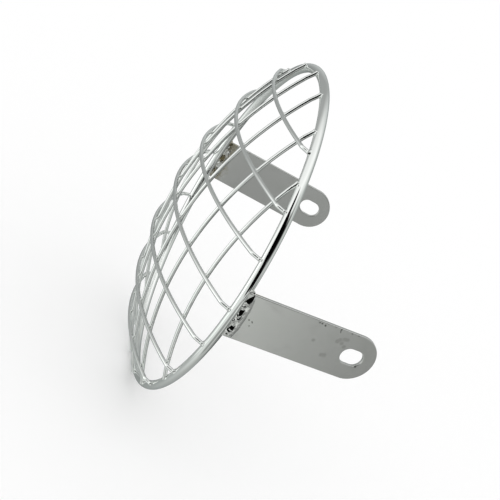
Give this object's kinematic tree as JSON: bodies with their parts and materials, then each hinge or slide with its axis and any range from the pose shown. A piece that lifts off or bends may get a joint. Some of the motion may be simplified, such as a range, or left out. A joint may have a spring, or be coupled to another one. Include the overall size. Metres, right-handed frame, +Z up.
{
  "type": "motorcycle headlight guard",
  "caption": "Round wire guard for a motorcycle headlight: a rod ring with a bowed grid of crossed wires and a slotted strap at each side.",
  "frame": {"origin": "centre of the rim ring, in the plane of the rod's centre line", "axes": "-Y is the way the lamp shines, +Y runs back along the straps, +Z is up and +X is the right side seen from the front"},
  "size_m": [0.1902, 0.1078, 0.1898],
  "materials": {
    "chrome": "bright plating with small pits and dull patches",
    "plated_weld": "lumpy weld under the plating, stained brown in places"
  },
  "bodies": {
    "root": {"rim_ring": "chrome", "inner_wire_1": "chrome", "inner_wire_2": "chrome", "inner_wire_3": "chrome", "inner_wire_4": "chrome", "inner_wire_5": "chrome", "inner_wire_6": "chrome", "inner_wire_7": "chrome", "outer_wire_1": "chrome", "outer_wire_2": "chrome", "outer_wire_3": "chrome", "outer_wire_4": "chrome", "outer_wire_5": "chrome", "outer_wire_6": "chrome", "outer_wire_7": "chrome", "strap_right": "chrome", "strap_left": "chrome", "weld_right_outer": "plated_weld", "weld_right_inner": "plated_weld", "weld_left_outer": "plated_weld", "weld_left_inner": "plated_weld"}
  },
  "joints": []
}
